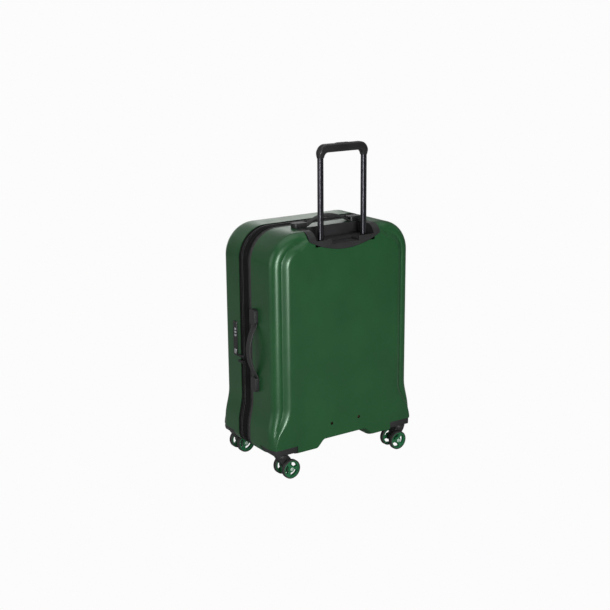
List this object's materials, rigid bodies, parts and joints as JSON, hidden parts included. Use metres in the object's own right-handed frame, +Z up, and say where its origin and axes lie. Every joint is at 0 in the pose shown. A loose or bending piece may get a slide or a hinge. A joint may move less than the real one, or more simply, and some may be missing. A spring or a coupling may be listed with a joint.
{
  "type": "hard shell suitcase",
  "caption": "Hard shell suitcase that opens like a book, with a telescopic trolley handle, two carry handles, a combination lock and twin-wheel casters.",
  "frame": {"origin": "on the floor, midway between the two sides and the two panels", "axes": "+Z up, +Y towards the trolley side, +X towards the side with the carry handle and the lock"},
  "size_m": [0.495, 0.2898, 0.9],
  "materials": {
    "green_shell": "satin gloss moulded polycarbonate",
    "wheel_green": "gloss moulded nylon",
    "black_plastic": "fine-grained moulded ABS",
    "handle_rubber": "soft-touch thermoplastic rubber",
    "edge_rubber": "matt extruded rubber",
    "tyre": "matt polyurethane",
    "dark_aluminium": "anodised, dark grey",
    "steel": "zinc plated",
    "satin_silver": "satin silver",
    "dial_grey": "moulded acetal",
    "bronze_rivet": "bronzed steel",
    "black_zinc": "black painted zinc casting",
    "black_nylon": "woven nylon tape",
    "lining_cloth": "woven polyester lining"
  },
  "bodies": {
    "case_back": {"back_shell": "green_shell", "back_lining": "lining_cloth", "back_edge_trim": "edge_rubber", "expansion_gusset": "black_nylon", "handle_well": "black_plastic", "rail_outer_tubes": "dark_aluminium", "rail_foot": "black_plastic", "rail_rivets": "bronze_rivet", "top_handle_mounts": "black_plastic", "side_handle_mounts": "black_plastic", "wheel_housing_back_left": "black_plastic", "wheel_housing_back_right": "black_plastic", "back_swivel_pins": "steel", "packing_straps": "black_nylon"},
    "expansion_frame": {"expansion_band": "black_nylon"},
    "lid": {"front_shell": "green_shell", "front_lining": "lining_cloth", "lid_zip_tape": "black_nylon", "lid_pocket": "lining_cloth", "wheel_housing_front_left": "black_plastic", "wheel_housing_front_right": "black_plastic", "front_swivel_pins": "steel", "lock_body": "black_plastic"},
    "trolley_middle": {"rail_mid_tubes": "dark_aluminium"},
    "trolley_handle": {"rail_inner_tubes": "dark_aluminium", "grip": "black_plastic"},
    "grip_button": {"grip_button": "black_plastic", "release_rods": "steel"},
    "top_handle": {"top_handle": "handle_rubber"},
    "side_handle": {"side_handle": "handle_rubber"},
    "lock_dial_1": {"lock_dial_1": "dial_grey"},
    "lock_dial_2": {"lock_dial_2": "dial_grey"},
    "lock_dial_3": {"lock_dial_3": "dial_grey"},
    "lock_release": {"lock_release": "satin_silver"},
    "zip_slider_upper": {"zip_slider_upper": "black_zinc"},
    "zip_slider_lower": {"zip_slider_lower": "black_zinc"},
    "caster_back_left": {"fork_back_left": "black_plastic", "axle_back_left": "steel"},
    "wheel_back_left_inner": {"wheel_back_left_inner": "wheel_green", "tyre_back_left_inner": "tyre"},
    "wheel_back_left_outer": {"wheel_back_left_outer": "wheel_green", "tyre_back_left_outer": "tyre"},
    "caster_back_right": {"fork_back_right": "black_plastic", "axle_back_right": "steel"},
    "wheel_back_right_inner": {"wheel_back_right_inner": "wheel_green", "tyre_back_right_inner": "tyre"},
    "wheel_back_right_outer": {"wheel_back_right_outer": "wheel_green", "tyre_back_right_outer": "tyre"},
    "caster_front_left": {"fork_front_left": "black_plastic", "axle_front_left": "steel"},
    "wheel_front_left_inner": {"wheel_front_left_inner": "wheel_green", "tyre_front_left_inner": "tyre"},
    "wheel_front_left_outer": {"wheel_front_left_outer": "wheel_green", "tyre_front_left_outer": "tyre"},
    "caster_front_right": {"fork_front_right": "black_plastic", "axle_front_right": "steel"},
    "wheel_front_right_inner": {"wheel_front_right_inner": "wheel_green", "tyre_front_right_inner": "tyre"},
    "wheel_front_right_outer": {"wheel_front_right_outer": "wheel_green", "tyre_front_right_outer": "tyre"}
  },
  "joints": [
    {"name": "expansion_slide", "type": "slide", "parent": "case_back", "child": "expansion_frame", "axis": [0, -1, 0], "range_m": [0, 0.035]},
    {"name": "lid_hinge", "type": "hinge", "parent": "expansion_frame", "child": "lid", "pos_m": [-0.2402, -0.0299, 0], "axis": [0, 0, -1], "range_deg": [0, 180]},
    {"name": "trolley_middle_slide", "type": "slide", "parent": "case_back", "child": "trolley_middle", "axis": [0, 0, 1], "range_m": [0, 0.16]},
    {"name": "trolley_handle_slide", "type": "slide", "parent": "trolley_middle", "child": "trolley_handle", "axis": [0, 0, 1], "range_m": [-0.222, 0]},
    {"name": "grip_button_press", "type": "slide", "parent": "trolley_handle", "child": "grip_button", "axis": [0, 0, -1], "range_m": [0, 0.003], "stiffness_N_per_m": 600, "springref_m": -0.002},
    {"name": "top_handle_lift", "type": "slide", "parent": "case_back", "child": "top_handle", "axis": [0, 0, 1], "range_m": [0, 0.005], "stiffness_N_per_m": 200, "springref_m": -0.001},
    {"name": "side_handle_lift", "type": "slide", "parent": "case_back", "child": "side_handle", "axis": [1, 0, 0], "range_m": [0, 0.005], "stiffness_N_per_m": 200, "springref_m": -0.001},
    {"name": "lock_dial_1_spin", "type": "hinge", "parent": "lid", "child": "lock_dial_1", "pos_m": [0.2247, -0.06665, 0.384], "axis": [0, 0, 1], "continuous": true},
    {"name": "lock_dial_2_spin", "type": "hinge", "parent": "lid", "child": "lock_dial_2", "pos_m": [0.2247, -0.06665, 0.375], "axis": [0, 0, 1], "continuous": true},
    {"name": "lock_dial_3_spin", "type": "hinge", "parent": "lid", "child": "lock_dial_3", "pos_m": [0.2247, -0.06665, 0.366], "axis": [0, 0, 1], "continuous": true},
    {"name": "lock_release_press", "type": "slide", "parent": "lid", "child": "lock_release", "axis": [-1, 0, 0], "range_m": [0, 0.0015], "stiffness_N_per_m": 300, "springref_m": -0.001},
    {"name": "zip_slider_upper_slide", "type": "slide", "parent": "expansion_frame", "child": "zip_slider_upper", "axis": [0, 0, 1], "range_m": [0, 0.26]},
    {"name": "zip_slider_lower_slide", "type": "slide", "parent": "expansion_frame", "child": "zip_slider_lower", "axis": [0, 0, -1], "range_m": [0, 0.09]},
    {"name": "caster_back_left_swivel", "type": "hinge", "parent": "case_back", "child": "caster_back_left", "pos_m": [-0.203, 0.1184, 0.06], "axis": [0, 0, 1], "continuous": true},
    {"name": "wheel_back_left_inner_spin", "type": "hinge", "parent": "caster_back_left", "child": "wheel_back_left_inner", "pos_m": [-0.185, 0.0974, 0.0272], "axis": [0, 1, 0], "continuous": true},
    {"name": "wheel_back_left_outer_spin", "type": "hinge", "parent": "caster_back_left", "child": "wheel_back_left_outer", "pos_m": [-0.185, 0.1394, 0.0272], "axis": [0, 1, 0], "continuous": true},
    {"name": "caster_back_right_swivel", "type": "hinge", "parent": "case_back", "child": "caster_back_right", "pos_m": [0.203, 0.1184, 0.06], "axis": [0, 0, 1], "continuous": true},
    {"name": "wheel_back_right_inner_spin", "type": "hinge", "parent": "caster_back_right", "child": "wheel_back_right_inner", "pos_m": [0.185, 0.0974, 0.0272], "axis": [0, 1, 0], "continuous": true},
    {"name": "wheel_back_right_outer_spin", "type": "hinge", "parent": "caster_back_right", "child": "wheel_back_right_outer", "pos_m": [0.185, 0.1394, 0.0272], "axis": [0, 1, 0], "continuous": true},
    {"name": "caster_front_left_swivel", "type": "hinge", "parent": "lid", "child": "caster_front_left", "pos_m": [-0.203, -0.1184, 0.06], "axis": [0, 0, 1], "continuous": true},
    {"name": "wheel_front_left_inner_spin", "type": "hinge", "parent": "caster_front_left", "child": "wheel_front_left_inner", "pos_m": [-0.185, -0.0974, 0.0272], "axis": [0, 1, 0], "continuous": true},
    {"name": "wheel_front_left_outer_spin", "type": "hinge", "parent": "caster_front_left", "child": "wheel_front_left_outer", "pos_m": [-0.185, -0.1394, 0.0272], "axis": [0, 1, 0], "continuous": true},
    {"name": "caster_front_right_swivel", "type": "hinge", "parent": "lid", "child": "caster_front_right", "pos_m": [0.203, -0.1184, 0.06], "axis": [0, 0, 1], "continuous": true},
    {"name": "wheel_front_right_inner_spin", "type": "hinge", "parent": "caster_front_right", "child": "wheel_front_right_inner", "pos_m": [0.185, -0.0974, 0.0272], "axis": [0, 1, 0], "continuous": true},
    {"name": "wheel_front_right_outer_spin", "type": "hinge", "parent": "caster_front_right", "child": "wheel_front_right_outer", "pos_m": [0.185, -0.1394, 0.0272], "axis": [0, 1, 0], "continuous": true}
  ]
}
